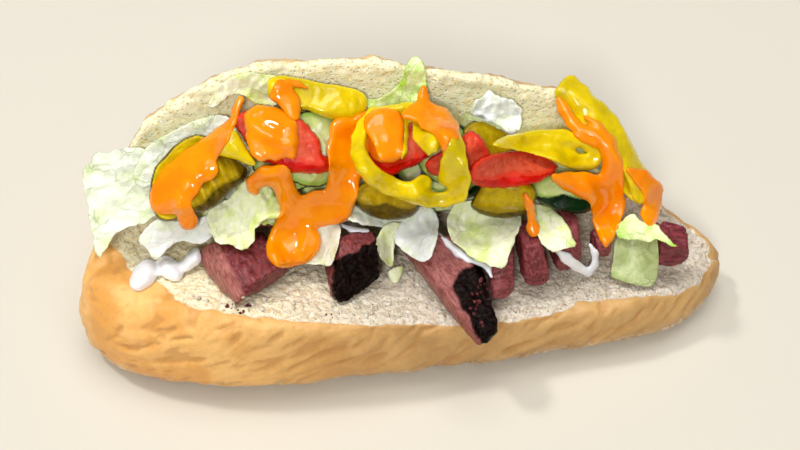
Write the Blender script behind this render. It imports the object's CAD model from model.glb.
import math

import bpy
import bmesh
import numpy as np
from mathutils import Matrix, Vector, noise
from mathutils.bvhtree import BVHTree


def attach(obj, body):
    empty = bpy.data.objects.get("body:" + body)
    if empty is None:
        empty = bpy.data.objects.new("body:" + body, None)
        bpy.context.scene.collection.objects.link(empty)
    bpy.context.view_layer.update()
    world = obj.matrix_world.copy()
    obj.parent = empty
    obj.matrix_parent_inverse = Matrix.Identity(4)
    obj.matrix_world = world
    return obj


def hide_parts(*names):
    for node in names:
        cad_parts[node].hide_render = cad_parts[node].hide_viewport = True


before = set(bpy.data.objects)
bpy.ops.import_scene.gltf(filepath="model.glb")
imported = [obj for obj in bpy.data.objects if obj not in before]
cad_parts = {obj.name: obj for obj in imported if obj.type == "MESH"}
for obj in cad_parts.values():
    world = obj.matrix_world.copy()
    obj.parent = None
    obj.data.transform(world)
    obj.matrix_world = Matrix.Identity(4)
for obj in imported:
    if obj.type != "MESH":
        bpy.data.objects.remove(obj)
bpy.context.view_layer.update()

MM = 0.001

# The toppings' own frame, in millimetres: U along the roll, V up the opening, W out of it.
LEAN = math.radians(40.0)
FILLING_ORIGIN = np.array((0.0, 6.0, 50.0))
FILLING_AXES = np.array(((1, 0, 0), (0, math.cos(LEAN), math.sin(LEAN)), (0, -math.sin(LEAN), math.cos(LEAN))))

# The eye that looks into the opening, in millimetres.
AZIMUTH, ELEVATION, DISTANCE = math.radians(-6.0), math.radians(50.0), 520.0
BACK = np.array((math.sin(AZIMUTH) * math.cos(ELEVATION), -math.cos(AZIMUTH) * math.cos(ELEVATION),
                 math.sin(ELEVATION)))
EYE = FILLING_ORIGIN + BACK * DISTANCE


def to_filling(points):
    return (points - FILLING_ORIGIN) @ FILLING_AXES.T


def from_filling(points):
    return points @ FILLING_AXES + FILLING_ORIGIN


# Toppings are laid out as the eye sees them: (a, b) is the place on the plane W = SHEET that lies in line with
# a point, and the third number is the point's own level W.
SHEET = 25.0
EYE_U, EYE_V, EYE_W = to_filling(EYE)


def to_sheet(points):
    u, v, w = to_filling(points).T
    nearer = (SHEET - EYE_W) / (w - EYE_W)
    return np.stack((EYE_U + (u - EYE_U) * nearer, EYE_V + (v - EYE_V) * nearer, w), axis=1)


def from_sheet(sheet):
    a, b, w = sheet.T
    further = (w - EYE_W) / (SHEET - EYE_W)
    return from_filling(np.stack((EYE_U + (a - EYE_U) * further, EYE_V + (b - EYE_V) * further, w), axis=1))


def linear(red, green, blue):
    """The linear colour of an 8-bit screen colour."""
    return tuple((c / 255 / 12.92) if c <= 10 else ((c / 255 + 0.055) / 1.055) ** 2.4 for c in (red, green, blue))


def smoothstep(low, high, values):
    t = np.clip((values - low) / (high - low), 0.0, 1.0)
    return t * t * (3 - 2 * t)


# ---------------------------------------------------------------- meshes as arrays


def points_of(mesh):
    values = np.empty(len(mesh.vertices) * 3, np.float32)
    mesh.vertices.foreach_get("co", values)
    return values.reshape(-1, 3).astype(float)


def place(mesh, points):
    mesh.vertices.foreach_set("co", points.astype(np.float32).ravel())
    mesh.update()


def normals_of(mesh):
    values = np.empty(len(mesh.vertices) * 3, np.float32)
    mesh.vertex_normals.foreach_get("vector", values)
    return values.reshape(-1, 3).astype(float)


def blurred(mesh, values, times):
    """Values at the vertices, averaged with their neighbours' so many times."""
    count = len(mesh.vertices)
    ends = np.empty(len(mesh.edges) * 2, np.int32)
    mesh.edges.foreach_get("vertices", ends)
    a, b = ends.reshape(-1, 2).T
    share = 1 + np.bincount(a, minlength=count) + np.bincount(b, minlength=count)
    columns = values.reshape(count, -1).T.copy()
    for _ in range(times):
        columns = np.array([(c + np.bincount(a, c[b], count) + np.bincount(b, c[a], count)) / share
                            for c in columns])
    return columns.T.reshape(values.shape)


def fractal(points, size, octaves=3, seed=0.0):
    """Smooth noise from about -1 to 1 whose largest features are of this size."""
    scaled = points / size + seed * 7.31
    return np.array([noise.fractal(p, 1.0, 2.0, octaves) for p in scaled.tolist()])


def ridges(points, size, sharpness, seed=0.0):
    """Narrow ridges, from 0 to 1, that wander between cells of this size."""
    scaled = points / size + seed * 5.17
    flat = np.array([abs(noise.noise(p)) for p in scaled.tolist()])
    return np.clip(1 - flat * sharpness, 0, 1)


def pits(points, size, wide, seed=0.0):
    """Round pits, from 0 to 1, at scattered places about this size apart."""
    scaled = points / size + seed * 3.77
    nearest = np.array([noise.voronoi(p)[0][0] for p in scaled.tolist()])
    return 1 - smoothstep(0.35 * wide, wide, nearest)


def store(mesh, **attributes):
    """Keeps values at the vertices for the material to read."""
    for name, values in attributes.items():
        kind, key = ("FLOAT", "value") if values.ndim == 1 else ("FLOAT_VECTOR", "vector")
        layer = mesh.attributes.new(name, kind, "POINT")
        layer.data.foreach_set(key, values.astype(np.float32).ravel())


def mesh_from(points, faces):
    mesh = bpy.data.meshes.new("shape")
    mesh.from_pydata(points.tolist(), [], faces)
    return mesh


def through(mesh, *modifiers):
    """The mesh after modifiers, each given as (type, settings)."""
    holder = bpy.data.objects.new("holder", mesh)
    bpy.context.scene.collection.objects.link(holder)
    for kind, settings in modifiers:
        modifier = holder.modifiers.new(kind, kind)
        for key, value in settings.items():
            setattr(modifier, key, value)
    graph = bpy.context.evaluated_depsgraph_get()
    made = bpy.data.meshes.new_from_object(holder.evaluated_get(graph))
    bpy.data.objects.remove(holder)
    return made


def subdivided(mesh, levels):
    return through(mesh, ("SUBSURF", {"levels": levels, "render_levels": levels}))


def voxelised(mesh, size):
    return through(mesh, ("REMESH", {"mode": "VOXEL", "voxel_size": size}))


def solid(node):
    """A CAD node in millimetres, welded, its triangles joined into quads again."""
    mesh = bmesh.new()
    mesh.from_mesh(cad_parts[node].data)
    bmesh.ops.remove_doubles(mesh, verts=mesh.verts, dist=1e-6)
    bmesh.ops.scale(mesh, verts=mesh.verts, vec=(1 / MM, 1 / MM, 1 / MM))
    bmesh.ops.join_triangles(mesh, faces=mesh.faces, angle_face_threshold=1.2, angle_shape_threshold=1.2)
    made = bpy.data.meshes.new(node)
    mesh.to_mesh(made)
    mesh.free()
    return made


def show(name, mesh, material, slot, *nodes):
    """The mesh, given in millimetres, as a piece of the sandwich that stands for these CAD nodes."""
    place(mesh, points_of(mesh) * MM)
    mesh.materials.clear()
    mesh.materials.append(material)
    mesh.shade_smooth()
    piece = bpy.data.objects.new(name, mesh)
    bpy.context.scene.collection.objects.link(piece)
    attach(piece, "root")
    if nodes:
        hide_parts(*nodes)
    return piece


# ---------------------------------------------------------------- materials


class Shade:
    """A material under construction: each method adds a node and gives its output."""

    def __init__(self, name, **settings):
        self.material = bpy.data.materials.new(name)
        self.material.use_nodes = True
        self.tree = self.material.node_tree
        self.shader = self.tree.nodes["Principled BSDF"]
        for socket, value in settings.items():
            self.shader.inputs[socket.replace("_", " ")].default_value = value

    def add(self, kind, inputs=None, **settings):
        made = self.tree.nodes.new(kind)
        for key, value in settings.items():
            setattr(made, key, value)
        for key, value in (inputs or {}).items():
            if isinstance(value, bpy.types.NodeSocket):
                self.tree.links.new(value, made.inputs[key])
            else:
                made.inputs[key].default_value = value
        return made

    def link(self, socket, output):
        self.tree.links.new(output, self.shader.inputs[socket])

    def attribute(self, name, output="Fac"):
        return self.add("ShaderNodeAttribute", attribute_name=name).outputs[output]

    def where(self, stretch=(1, 1, 1)):
        """The place on the object in millimetres, squeezed by these factors."""
        coordinates = self.add("ShaderNodeTexCoord").outputs["Object"]
        return self.add("ShaderNodeVectorMath", {0: coordinates, 1: [s / MM for s in stretch]},
                        operation="MULTIPLY").outputs[0]

    def noise(self, place, size, detail=3.0, roughness=0.6, distortion=0.0):
        return self.add("ShaderNodeTexNoise", {"Vector": place, "Scale": 1 / size, "Detail": detail,
                                               "Roughness": roughness, "Distortion": distortion}).outputs["Fac"]

    def cells(self, place, size, feature="F1", randomness=1.0):
        return self.add("ShaderNodeTexVoronoi", {"Vector": place, "Scale": 1 / size, "Randomness": randomness},
                        feature=feature).outputs["Distance"]

    def stretch(self, value, low, high, to_low=0.0, to_high=1.0, smooth=True):
        kind = "SMOOTHSTEP" if smooth else "LINEAR"
        return self.add("ShaderNodeMapRange", {"Value": value, "From Min": low, "From Max": high,
                                               "To Min": to_low, "To Max": to_high},
                        interpolation_type=kind).outputs["Result"]

    def sum(self, a, b, operation="ADD"):
        return self.add("ShaderNodeMath", {0: a, 1: b}, operation=operation).outputs[0]

    def product(self, a, b):
        return self.sum(a, b, "MULTIPLY")

    def mix(self, factor, a, b, blend="MIX"):
        made = self.add("ShaderNodeMix", data_type="RGBA", blend_type=blend)
        for index, value in ((0, factor), (6, a), (7, b)):
            if isinstance(value, bpy.types.NodeSocket):
                self.tree.links.new(value, made.inputs[index])
            elif index:
                made.inputs[index].default_value = (*value, 1.0)
            else:
                made.inputs[index].default_value = value
        return made.outputs[2]

    def bump(self, height, distance, strength=1.0):
        """Relief of this depth in millimetres; a second call goes over the first."""
        made = self.add("ShaderNodeBump", {"Height": height, "Distance": distance * MM, "Strength": strength})
        current = self.shader.inputs["Normal"]
        if current.is_linked:
            self.tree.links.new(current.links[0].from_socket, made.inputs["Normal"])
        self.tree.links.new(made.outputs["Normal"], current)


def bread_material():
    shade = Shade("bread", Roughness=0.42, Specular_IOR_Level=0.35, Subsurface_Weight=0.15, Subsurface_Scale=0.003)
    shade.shader.inputs["Subsurface Radius"].default_value = (1.0, 0.6, 0.3)
    place_on = shade.where()
    crumb = shade.attribute("crumb")
    tan = shade.attribute("tan")
    upper = shade.attribute("upper")
    broad = shade.stretch(shade.noise(place_on, 18, 4), 0.35, 0.68)
    golden = shade.mix(broad, linear(250, 196, 118), linear(232, 166, 84))
    dull = shade.mix(broad, linear(212, 168, 106), linear(188, 144, 86))
    crust = shade.mix(tan, golden, dull)
    crust = shade.mix(upper, crust, shade.mix(broad, linear(234, 200, 146), linear(206, 160, 106)))
    browned = shade.stretch(shade.noise(place_on, 1.6, 5, 0.7), 0.52, 0.74, 0.0, 0.7)
    crust = shade.mix(browned, crust, shade.mix(1.0, crust, (0.86, 0.74, 0.60), "MULTIPLY"))
    crust = shade.mix(shade.product(shade.attribute("crease"), 0.4), crust, linear(186, 124, 58))
    crust = shade.mix(shade.attribute("low"), crust, shade.mix(1.0, crust, (0.66, 0.62, 0.58), "MULTIPLY"))
    speck = shade.noise(place_on, 3.0, 6, 0.75)
    dusted = shade.product(shade.attribute("flour"), shade.stretch(speck, 0.38, 0.62))
    crust = shade.mix(dusted, crust, linear(232, 214, 188))
    pale = shade.mix(tan, linear(255, 244, 206), linear(222, 209, 190))
    pale = shade.mix(upper, pale, linear(255, 247, 206))
    deep = shade.mix(tan, linear(240, 208, 150), linear(196, 174, 144))
    deep = shade.mix(upper, deep, linear(246, 224, 162))
    grain = shade.noise(place_on, 2.0, 6, 0.72)
    pores = shade.cells(place_on, 1.3)
    inner = shade.mix(shade.stretch(grain, 0.34, 0.54), deep, pale)
    inner = shade.mix(shade.stretch(pores, 0.06, 0.20, 0.2, 0.0), inner, linear(220, 188, 136))
    crumbs = shade.stretch(shade.noise(place_on, 0.8, 3), 0.56, 0.72)
    inner = shade.mix(crumbs, inner, linear(255, 252, 242))
    colour = shade.mix(shade.stretch(crumb, 0.3, 0.7), crust, inner)
    shade.link("Base Color", colour)
    rough = shade.sum(shade.noise(place_on, 1.3, 5, 0.7), shade.stretch(pores, 0.05, 0.4))
    shade.bump(shade.product(crumb, rough), 0.4)
    lower = shade.sum(crumb, upper, "SUBTRACT")
    shade.bump(shade.product(lower, shade.cells(place_on, 1.6, "SMOOTH_F1")), -0.7)
    shade.bump(shade.noise(place_on, 0.9, 4, 0.65), 0.12)
    return shade.material


def meat_material():
    shade = Shade("meat", Subsurface_Weight=0.05, Subsurface_Scale=0.002)
    shade.shader.inputs["Subsurface Radius"].default_value = (1.0, 0.3, 0.25)
    grain = shade.attribute("grain", "Vector")
    bark = shade.attribute("bark")
    fibres = shade.noise(grain, 0.9, 5, 0.62, 0.5)
    blotches = shade.noise(shade.where(), 4.0, 5, 0.65)
    mauve = shade.mix(shade.stretch(fibres, 0.32, 0.66), linear(80, 16, 24), linear(138, 54, 62))
    salmon = shade.mix(shade.stretch(fibres, 0.32, 0.66), linear(138, 72, 66), linear(184, 116, 106))
    flesh = shade.mix(shade.attribute("pink"), mauve, salmon)
    flesh = shade.mix(shade.stretch(blotches, 0.5, 0.72, 0, 0.55), flesh, linear(84, 24, 28))
    speckles = shade.stretch(shade.noise(shade.where(), 1.2, 4, 0.7), 0.5, 0.75)
    colour = shade.mix(bark, flesh, shade.mix(speckles, linear(12, 4, 3), linear(54, 26, 19)))
    shade.link("Base Color", colour)
    shade.link("Roughness", shade.stretch(shade.noise(shade.where(), 2.0, 4, 0.6), 0.35, 0.65, 0.1, 0.3))
    shade.link("Specular IOR Level", shade.stretch(bark, 0.0, 1.0, 0.25, 0.06))
    shade.bump(fibres, 0.3)
    shade.bump(shade.noise(shade.where(), 1.2, 4, 0.6), 0.25)
    return shade.material


def lettuce_material(name, light, dark, vein_colour, vein_size, vein_strength):
    shade = Shade(name, Roughness=0.18, Specular_IOR_Level=0.35, Subsurface_Weight=0.12, Subsurface_Scale=0.001)
    shade.shader.inputs["Subsurface Radius"].default_value = (0.9, 1.0, 0.5)
    sheet = shade.attribute("sheet", "Vector")
    swirl = shade.add("ShaderNodeTexNoise", {"Vector": sheet, "Scale": 0.16, "Detail": 3.0}).outputs["Color"]
    sway = shade.add("ShaderNodeVectorMath", {0: swirl, 1: (7.0, 7.0, 0.0)}, operation="MULTIPLY").outputs[0]
    warped = shade.add("ShaderNodeVectorMath", {0: sheet, 1: sway}, operation="ADD").outputs[0]
    drawn = shade.add("ShaderNodeVectorMath", {0: warped, 1: (0.4, 1.0, 1.0)}, operation="MULTIPLY").outputs[0]
    ribs = shade.stretch(shade.cells(drawn, vein_size, "DISTANCE_TO_EDGE"), 0.0, 0.04, 1.0, 0.0)
    net = shade.stretch(shade.cells(warped, vein_size * 0.45, "DISTANCE_TO_EDGE"), 0.0, 0.07, 0.5, 0.0)
    faded = shade.stretch(shade.noise(shade.where(), 7.0, 2, 0.5), 0.35, 0.6)
    vein = shade.product(shade.sum(ribs, net, "MAXIMUM"), faded)
    patches = shade.stretch(shade.noise(shade.where(), 5.0, 5, 0.65), 0.3, 0.7)
    colour = shade.mix(shade.sum(shade.product(patches, 0.7), shade.attribute("tint")), light, dark)
    broad = shade.stretch(shade.cells(drawn, vein_size * 1.7, "DISTANCE_TO_EDGE"), 0.02, 0.16, 0.6, 0.0)
    colour = shade.mix(broad, colour, light)
    colour = shade.mix(shade.product(vein, vein_strength), colour, vein_colour)
    shade.link("Base Color", colour)
    shade.bump(shade.sum(shade.product(vein, 0.4), shade.noise(shade.where(), 2.4, 5, 0.65)), 0.4)
    return shade.material


def slice_material(name, flesh, heart, seed_colour, skin, skin_edge, wet=0.2, subsurface=0.3):
    shade = Shade(name, Roughness=wet, Specular_IOR_Level=0.2, Subsurface_Weight=subsurface, Subsurface_Scale=0.002)
    shade.shader.inputs["Subsurface Radius"].default_value = (1.0, 0.8, 0.2)
    place_on = shade.where()
    mottle = shade.stretch(shade.noise(place_on, 2.5, 5, 0.65), 0.3, 0.7)
    colour = shade.mix(mottle, flesh[0], flesh[1])
    colour = shade.mix(shade.attribute("tone"), colour, shade.mix(shade.product(mottle, 0.5), heart, flesh[0]))
    colour = shade.mix(shade.product(shade.attribute("heart"), mottle), colour, heart)
    colour = shade.mix(shade.attribute("seed"), colour, seed_colour)
    colour = shade.mix(shade.attribute("edge"), colour, skin_edge)
    spots = shade.stretch(shade.noise(place_on, 3.5, 5, 0.7), 0.35, 0.7)
    colour = shade.mix(shade.attribute("skin"), colour, shade.mix(spots, skin[0], skin[1]))
    shade.link("Base Color", colour)
    shade.bump(shade.noise(place_on, 0.9, 4, 0.65), 0.22)
    return shade.material


def pepper_material():
    shade = Shade("pepper", Roughness=0.07, Specular_IOR_Level=0.5, Subsurface_Weight=0.2, Subsurface_Scale=0.003)
    shade.shader.inputs["Subsurface Radius"].default_value = (1.0, 0.85, 0.1)
    place_on = shade.where()
    patches = shade.stretch(shade.noise(place_on, 7.0, 4, 0.6), 0.3, 0.7)
    colour = shade.mix(patches, linear(238, 208, 0), linear(214, 184, 0))
    colour = shade.mix(shade.product(shade.attribute("olive"), 0.6), colour, linear(190, 170, 4))
    colour = shade.mix(shade.product(shade.attribute("rim"), 0.4), colour, linear(246, 224, 20))
    colour = shade.mix(shade.stretch(shade.noise(place_on, 1.2, 4, 0.7), 0.58, 0.75, 0, 0.4), colour, linear(240, 224, 60))
    shade.link("Base Color", colour)
    shade.bump(shade.noise(place_on, 2.2, 3, 0.5), 0.2)
    return shade.material


def runny_material(name, bright, deep, subsurface, roughness):
    shade = Shade(name, Roughness=roughness, Specular_IOR_Level=0.5, Subsurface_Weight=subsurface,
                  Subsurface_Scale=0.002)
    shade.shader.inputs["Subsurface Radius"].default_value = (1.0, 0.6, 0.2)
    place_on = shade.where()
    colour = shade.mix(shade.stretch(shade.noise(place_on, 8.0, 3, 0.5), 0.35, 0.7), bright, deep)
    shade.link("Base Color", colour)
    shade.bump(shade.noise(place_on, 4.0, 2, 0.5), 0.25)
    return shade.material


# ---------------------------------------------------------------- the roll

# The crumb's outline on the sheet plane: the torn edge of the lower crust, then far round the rest.
CRUMB_OUTLINE = np.array((
    (-112, 70), (-112, 20), (-101, 8), (-94.1, 2.5), (-91.8, 1.1), (-89.5, -1.3), (-87.5, -3.6), (-87.7, -6.4),
    (-84.8, -8.5), (-81.8, -10), (-78.3, -11.6), (-75.4, -14), (-73.4, -17), (-69.3, -19.8), (-65.4, -21.1),
    (-59.6, -22.5), (-53.8, -23.9), (-45.5, -25.5), (-35.4, -27.7), (-25.7, -28.8), (-17.4, -30.1), (-4.2, -31.2),
    (4, -31.6), (13.4, -33.4), (25.8, -32.8), (33.1, -33.4), (40.5, -32.2), (48, -31.2), (53.3, -28.5),
    (62.9, -28.6), (70.3, -28.9), (77.4, -28.6), (84.8, -29.2), (87.2, -27.6), (92.5, -26.3), (94.4, -22.7),
    (96.6, -19.6), (97.4, -17.4), (95.5, -14), (92, -9.6), (88, -6.5), (84, -3), (90, 10), (80, 30), (110, 70)))


def build_roll(material):
    mesh = voxelised(subdivided(solid("roll"), 2), 0.8)
    points = points_of(mesh)
    normals = blurred(mesh, normals_of(mesh), 2)
    normals /= np.linalg.norm(normals, axis=1)[:, None]
    x, y, z = points.T
    torn = 0.5 * fractal(points, 5.0, 2) + 0.5 * fractal(points, 2.0, 2, 1)
    inside = inside_outline(to_sheet(points)[:, :2], CRUMB_OUTLINE) + torn
    upper = smoothstep(36, 48, z) * smoothstep(10, 26, y)
    towards_eye = normals @ BACK
    least = 0.05 + 0.45 * upper + 0.25 * fractal(points, 3.0, 2, 2)
    crumb = smoothstep(-0.3, 0.3, inside) * smoothstep(least - 0.1, least + 0.1, towards_eye)
    outward = normals[:, 0] * np.sign(x)
    crumb *= 1 - smoothstep(0.5, 0.7, outward) * smoothstep(65, 80, np.abs(x)) * smoothstep(44, 34, z)
    crumb = blurred(mesh, crumb, 1)
    edge_lip = np.exp(-(inside / 1.2) ** 2) * (1 - upper)

    level = smoothstep(0.5, 4.0, z)
    patches = smoothstep(-0.1, 0.35, fractal(points, 24, 2, 5))
    wander = 2.0 * fractal(points, 16, 2, 4)
    lean = np.stack((0.22 * (x + 0.5 * z), 0.5 * y, z - 0.4 * x + wander), axis=1)
    steep = np.stack((x - 0.9 * z + wander, 0.5 * y, 0.25 * (z + 0.9 * x)), axis=1)
    wrinkles = fractal(lean, 3.6, 3, 2) * patches + 0.8 * fractal(steep, 4.5, 3, 3) * (1 - patches)
    wrinkles *= 1 - 0.65 * smoothstep(0, 30, y)
    crease = smoothstep(0.12, 0.42, wrinkles)
    crust = 0.5 * fractal(points, 16, 3, 7) + 0.10 * fractal(points, 2.5, 3, 8) - 0.7 * wrinkles - 0.5 * crease
    clumps = 0.45 - np.array([noise.voronoi(p)[0][0] for p in (points / 2.8).tolist()])
    granular = (1 - upper) * 0.9 * clumps + (1 - 0.5 * upper) * 0.4 * fractal(points, 2.4, 2, 9)
    holes = 0.35 * pits(points, 3.4, 0.30, 11) + 0.3 * pits(points, 2.2, 0.30, 12)
    rise = (1 - crumb) * (crust + 0.5 * edge_lip) + crumb * (granular - holes - 0.5 * edge_lip)
    top_rim = upper * smoothstep(0.2, 0.7, normals[:, 2])
    rise += top_rim * (2.0 * fractal(points, 13, 3, 15) + 0.6 * fractal(points, 3.0, 2, 16))
    points += normals * (rise * level)[:, None]
    points[:, 2] = np.maximum(points[:, 2], 0.0)
    place(mesh, points)
    flour = smoothstep(12, 3, z) * smoothstep(0.5, -0.2, normals[:, 2])
    tan = smoothstep(-80, 10, x)
    low = smoothstep(13, 3, z) * smoothstep(0.3, -0.3, normals[:, 2])
    store(mesh, crumb=crumb, flour=flour, tan=tan, upper=upper, crease=crease, low=low)
    remember(points, mesh)
    show("bread", mesh, material, "roll", "roll")


# ---------------------------------------------------------------- meat


def long_axes(points):
    """The directions in which points spread most, then less, then least."""
    centred = points - points.mean(axis=0)
    return np.linalg.svd(centred, full_matrices=False)[2]


# For each chunk: how pink it is, the way its fibres run (u, v, w), and where its roasted bark and its palest cut
# face show on the sheet plane.
MEAT = {
    "meat_a": (0.15, (0.4, -0.8, 0.3), None,
               ((-67, -3), (-61, 2), (-59, 0), (-56.5, -7), (-53.5, -13), (-51.5, -19), (-54, -24), (-60, -19), (-68, -9))),
    "meat_b": (0.25, (0.2, -1.0, 0.3), ((-23.5, -9.5), (-20, -8.2), (-17, -7.4), (-13, -5), (-10.5, -4.6), (-7, -3), (-4, -10),
                                  (-5, -22), (-20, -28), (-29, -26), (-25.5, -22), (-24.3, -15)), None),
    "meat_c": (0.65, (0.5, -0.85, 0.1), ((15, -16.5), (17, -15), (20, -14.4), (24, -13.6), (30, -16), (34, -30), (30, -44),
                                  (21.8, -44), (20.4, -39), (18.4, -34), (16.6, -29.5), (14.6, -25.5), (13.6, -22),
                                  (14.4, -19)), None),
    "meat_d": (0.25, (1.0, 0.1, 0.0), None, None),
    "meat_e": (0.15, (0.1, -1.0, 0.3), None, None),
    "meat_f": (0.15, (0.3, -1.0, 0.3), None, None),
    "meat_g": (0.2, (0.1, -1.0, 0.0), None, None),
    "meat_h": (0.05, (1.0, -0.15, 0.0), None, None),
    "meat_i": (0.2, (1.0, 0.0, 0.0), None, None),
}


def build_meat(material):
    for index, (node, (pinkness, fibre_way, bark_outline, pale_outline)) in enumerate(MEAT.items()):
        mesh = voxelised(solid(node), 0.5)
        points = blurred(mesh, points_of(mesh), 3)
        place(mesh, points)
        normals = blurred(mesh, normals_of(mesh), 2)
        normals /= np.linalg.norm(normals, axis=1)[:, None]
        fibre = np.array(fibre_way) / np.linalg.norm(fibre_way)
        across = np.cross(fibre, (0, 0, 1.0))
        across /= np.linalg.norm(across)
        local = to_filling(points)
        grain = np.stack((local @ fibre * 0.14, local @ across, local @ np.cross(fibre, across)), axis=1)
        spots = to_sheet(points)[:, :2]
        wander = 0.9 * fractal(points, 4.0, 3, index + 3)
        bark = np.zeros(len(points))
        pale = np.full(len(points), pinkness)
        if bark_outline:
            bark = smoothstep(-0.4, 0.5, inside_outline(spots, np.array(bark_outline)) + wander)
        if pale_outline:
            pale = np.maximum(pale, smoothstep(-0.4, 0.4, inside_outline(spots, np.array(pale_outline)) + 0.4 * wander))
        strands = fractal(grain, 1.7, 3, index + 20)
        lumps = fractal(points, 5.0, 3, index + 30)
        cracks = ridges(points, 5.0, 7.0, index + 40) * smoothstep(0.0, 0.25, fractal(points, 6.0, 2, index + 41))
        rough = 1 - 0.75 * pale * (1 - bark)
        crust = 0.5 * bark * fractal(points, 1.6, 2)
        points += normals * (0.14 * strands + rough * (0.45 * lumps - 0.7 * cracks) + crust)[:, None]
        place(mesh, points)
        store(mesh, grain=grain, bark=bark, pink=pale)
        remember(points, mesh)
        show(node, mesh, material, "meat", node)


# ---------------------------------------------------------------- lettuce

WHITE_GREEN, YELLOW_GREEN, BRIGHT_GREEN, WATERY, STRIPED = "white", "yellow", "bright", "watery", "striped"

# Each look of lettuce: light, dark and vein colours, size of the net of veins, how strongly the veins show.
LETTUCE = {
    WHITE_GREEN: ((250, 252, 238), (216, 231, 164), (146, 174, 98), 5.0, 0.42),
    YELLOW_GREEN: ((254, 255, 224), (214, 235, 106), (156, 180, 84), 6.0, 0.25),
    BRIGHT_GREEN: ((246, 255, 200), (186, 233, 78), (146, 180, 76), 5.0, 0.25),
    WATERY: ((253, 255, 252), (224, 235, 190), (186, 202, 162), 5.0, 0.2),
    STRIPED: ((200, 208, 152), (152, 170, 96), (106, 126, 70), 3.2, 0.4),
}


def lettuce_materials():
    return {look: lettuce_material("lettuce_" + look, linear(*light), linear(*dark), linear(*vein), size, strength)
            for look, (light, dark, vein, size, strength) in LETTUCE.items()}


# How far up the opening the loose lettuce reaches, as (a, b) on the sheet plane.
BED_LIMIT = ((-95, 14), (-85, 20), (-75, 26), (-60, 31), (-50, 33), (-38, 36), (-10, 33), (10, 32), (20, 25),
             (40, 20), (50, 20), (60, 14), (70, 4), (82, -6))


def build_bed(materials):
    """The bed's core, a little smaller than its solid, and loose shreds over it."""
    mesh = voxelised(subdivided(solid("lettuce_bed"), 1), 0.9)
    points = points_of(mesh)
    normals = blurred(mesh, normals_of(mesh), 3)
    points += normals * (0.9 * fractal(points, 7, 3, 2) + 0.6 * ridges(points, 4.0, 3.0, 8) - 1.0)[:, None]
    spots = to_sheet(points)
    beyond = smoothstep(0.0, 6.0, spots[:, 1] - np.interp(spots[:, 0], *zip(*BED_LIMIT)))
    points -= FILLING_AXES[2] * 9.0 * beyond[:, None]
    place(mesh, points)
    local = to_filling(points)
    store(mesh, sheet=local, tint=np.clip(0.3 + 0.5 * fractal(points, 9, 2, 3), 0, 1))
    tree = BVHTree.FromPolygons(local.tolist(), [tuple(p.vertices) for p in mesh.polygons])
    remember(points, mesh)
    show("lettuce_core", mesh, materials[YELLOW_GREEN], "lettuce", "lettuce_bed")
    random = np.random.default_rng(5)
    low, high = local.min(axis=0), local.max(axis=0)
    corners, faces, sheets, tints = [], [], [], []
    steps = 14
    for _ in range(260):
        u, v = random.uniform(low[0] + 3, high[0] - 3), random.uniform(low[1] - 1, high[1] - 2)
        heading = random.normal(0.0, 0.7)
        bend = random.normal(0.0, 0.05)
        half, length = random.uniform(0.8, 2.4), random.uniform(9, 24)
        lift = random.uniform(0.1, 1.0)
        roll_phase = random.uniform(0, 6.3)
        start = len(corners)
        made = 0
        for k in range(steps + 1):
            heading += bend
            u += math.cos(heading) * length / steps
            v += math.sin(heading) * length / steps
            hit = tree.ray_cast(Vector((u, v, 60)), Vector((0, 0, -1)))[0]
            if hit is None or v > np.interp(u, *zip(*BED_LIMIT)) - 3:
                break
            ground = hit.z
            made += 1
            wide = half * math.sin(math.pi * (0.12 + 0.8 * k / steps)) ** 0.5
            for side in (-1, -0.33, 0.33, 1):
                wave = lift + 0.5 * math.sin(roll_phase + 0.7 * k) * side + 0.35 * side * side
                corners.append((u - math.sin(heading) * side * wide, v + math.cos(heading) * side * wide, ground + wave))
                sheets.append((start + k * length / steps, side * wide, 0.0))
        if made < 4:
            del corners[start:], sheets[start:]
            continue
        tints += [random.uniform(-0.2, 0.7)] * (4 * made)
        for k in range(made - 1):
            for i in range(3):
                a = start + k * 4 + i
                faces.append((a, a + 1, a + 5, a + 4))
    shreds = mesh_from(from_filling(np.array(corners)), faces)
    store(shreds, sheet=np.array(sheets), tint=np.clip(np.array(tints), 0, 1))
    shreds = through(shreds, ("SOLIDIFY", {"thickness": 0.45, "offset": 0.0}),
                     ("SUBSURF", {"levels": 1, "render_levels": 1}))
    remember(points_of(shreds), shreds)
    show("lettuce_shreds", shreds, materials[WHITE_GREEN], "lettuce", "lettuce_bed")


# ---------------------------------------------------------------- laying foods over what is below


class Region:
    """A region of the sheet plane: a closed outline, or strokes of (a, b, radius) that melt together, less holes."""

    def __init__(self, outline=None, strokes=(), holes=(), ragged=0.0, grain=3.0, cuts=2, seed=0):
        self.outline = None if outline is None else corner_cut(outline, cuts)
        self.strokes, self.holes = strokes, holes
        self.ragged, self.grain, self.seed = ragged, grain, seed

    def box(self):
        if self.outline is not None:
            return self.outline.min(axis=0), self.outline.max(axis=0)
        knots = np.array([knot for stroke in self.strokes for knot in stroke])
        return (knots[:, :2] - knots[:, 2:]).min(axis=0), (knots[:, :2] + knots[:, 2:]).max(axis=0)

    def depth(self, spots):
        """How far inside each spot lies, negative outside."""
        if self.outline is not None:
            depth = inside_outline(spots, self.outline)
        else:
            depth = inside_strokes(spots, self.strokes)
        if self.holes:
            depth = np.minimum(depth, -inside_strokes(spots, self.holes))
        if self.ragged:
            flat = np.stack((spots[:, 0], spots[:, 1], 0 * spots[:, 0]), axis=1)
            depth = depth + self.ragged * fractal(flat, self.grain, 3, self.seed)
        return depth


def corner_cut(outline, times):
    points = np.array(outline, float)
    for _ in range(times):
        after = np.roll(points, -1, axis=0)
        points = np.stack((0.75 * points + 0.25 * after, 0.25 * points + 0.75 * after), axis=1).reshape(-1, 2)
    return points


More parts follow.
